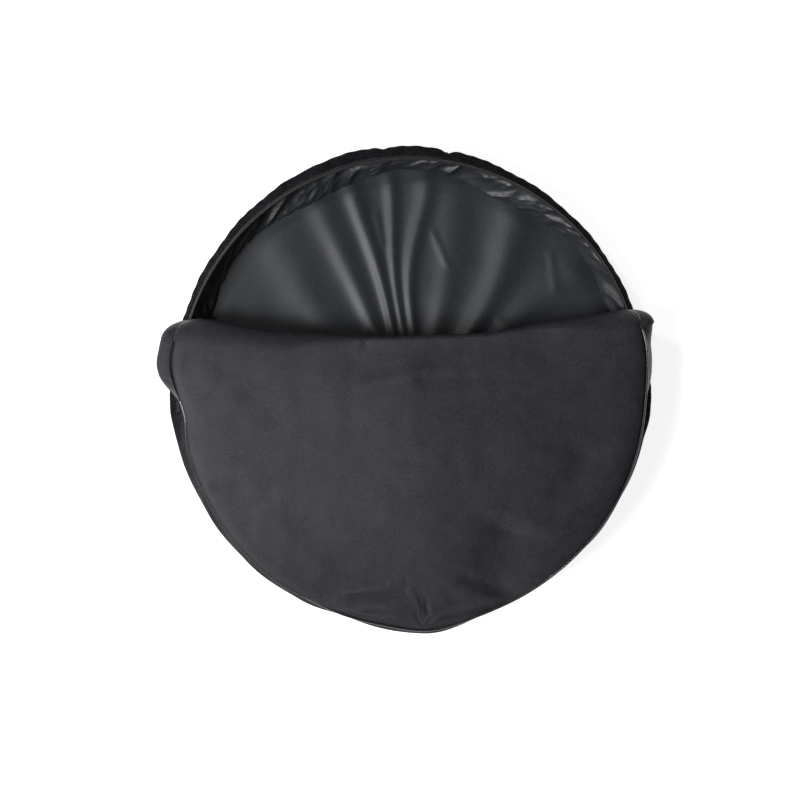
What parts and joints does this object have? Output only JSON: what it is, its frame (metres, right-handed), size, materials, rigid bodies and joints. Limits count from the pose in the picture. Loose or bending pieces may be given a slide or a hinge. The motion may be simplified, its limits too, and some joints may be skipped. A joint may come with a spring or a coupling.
{
  "type": "padded bicycle wheel bag",
  "caption": "Round padded bag for one bicycle wheel, with a zip over its upper half, unzipped, and the front panel's upper part folded and tucked inside.",
  "frame": {"origin": "middle of the back panel's outer face, on the surface that the bag lies on", "axes": "+Z out of the front panel, +Y from the middle towards the mouth, +X to the right seen from the front"},
  "size_m": [0.796, 0.7752, 0.112],
  "materials": {
    "outer_cloth": "matt woven polyester",
    "lining": "satin nylon",
    "foam": "closed cell foam sheet",
    "piping": "semi-gloss covered cord",
    "zip": "moulded nylon",
    "webbing": "woven webbing",
    "slider_metal": "black painted zinc"
  },
  "bodies": {
    "bag": {"back_shell": "outer_cloth", "back_padding": "foam", "back_lining": "lining", "back_hub_patch": "lining", "rear_piping": "piping", "rear_seam_binding": "webbing", "lower_gusset_shell": "outer_cloth", "lower_gusset_lining": "lining", "upper_gusset_shell": "outer_cloth", "upper_gusset_lining": "lining", "rear_zip_tape": "zip", "rear_zip_teeth": "zip", "left_zip_tab": "outer_cloth", "right_zip_tab": "outer_cloth", "carry_handle": "webbing", "left_handle_patch": "outer_cloth", "right_handle_patch": "outer_cloth", "front_shell": "outer_cloth", "front_padding": "foam", "front_lining": "lining", "front_hub_patch": "lining", "front_piping": "piping", "front_seam_binding": "webbing", "fold_shell": "outer_cloth", "fold_padding": "foam", "fold_lining": "lining", "left_wing": "outer_cloth", "right_wing": "outer_cloth", "left_wing_zip_tape": "zip", "right_wing_zip_tape": "zip", "left_wing_zip_teeth": "zip", "right_wing_zip_teeth": "zip"},
    "flap": {"flap_shell": "outer_cloth", "flap_padding": "foam", "flap_lining": "lining", "flap_piping": "piping", "flap_gusset_shell": "outer_cloth", "flap_gusset_lining": "lining", "flap_zip_tape": "zip", "flap_zip_teeth": "zip"},
    "left_slider": {"left_slider": "slider_metal"},
    "right_slider": {"right_slider": "slider_metal"},
    "left_pull": {"left_pull": "slider_metal"},
    "right_pull": {"right_pull": "slider_metal"}
  },
  "joints": [
    {"name": "flap_fold", "type": "hinge", "parent": "bag", "child": "flap", "pos_m": [0, 0.11041, 0.0705], "axis": [-1, 0, 0], "range_deg": [0, 178], "deforming": ["flap_shell", "flap_padding", "flap_lining", "flap_piping", "flap_gusset_shell", "flap_gusset_lining", "flap_zip_tape", "flap_zip_teeth", "fold_shell", "fold_padding", "fold_lining", "left_wing", "right_wing", "left_wing_zip_tape", "right_wing_zip_tape", "left_wing_zip_teeth", "right_wing_zip_teeth"]},
    {"name": "right_slider_travel", "type": "hinge", "parent": "bag", "child": "right_slider", "pos_m": [0, 0, 0.064], "axis": [0, 0, 1], "range_deg": [0, 88]},
    {"name": "left_slider_travel", "type": "hinge", "parent": "bag", "child": "left_slider", "pos_m": [0, 0, 0.064], "axis": [0, 0, -1], "range_deg": [0, 88]},
    {"name": "right_pull_swing", "type": "hinge", "parent": "right_slider", "child": "right_pull", "pos_m": [0.37564, -0.00656, 0.064], "axis": [0, 0, 1], "range_deg": [0, 120]},
    {"name": "left_pull_swing", "type": "hinge", "parent": "left_slider", "child": "left_pull", "pos_m": [-0.37564, -0.00656, 0.064], "axis": [0, 0, -1], "range_deg": [0, 120]}
  ],
  "couplings": [
    {"joint": "right_slider_travel", "follows": "flap_fold", "ratio": 0.4943},
    {"joint": "left_slider_travel", "follows": "flap_fold", "ratio": 0.4943}
  ]
}
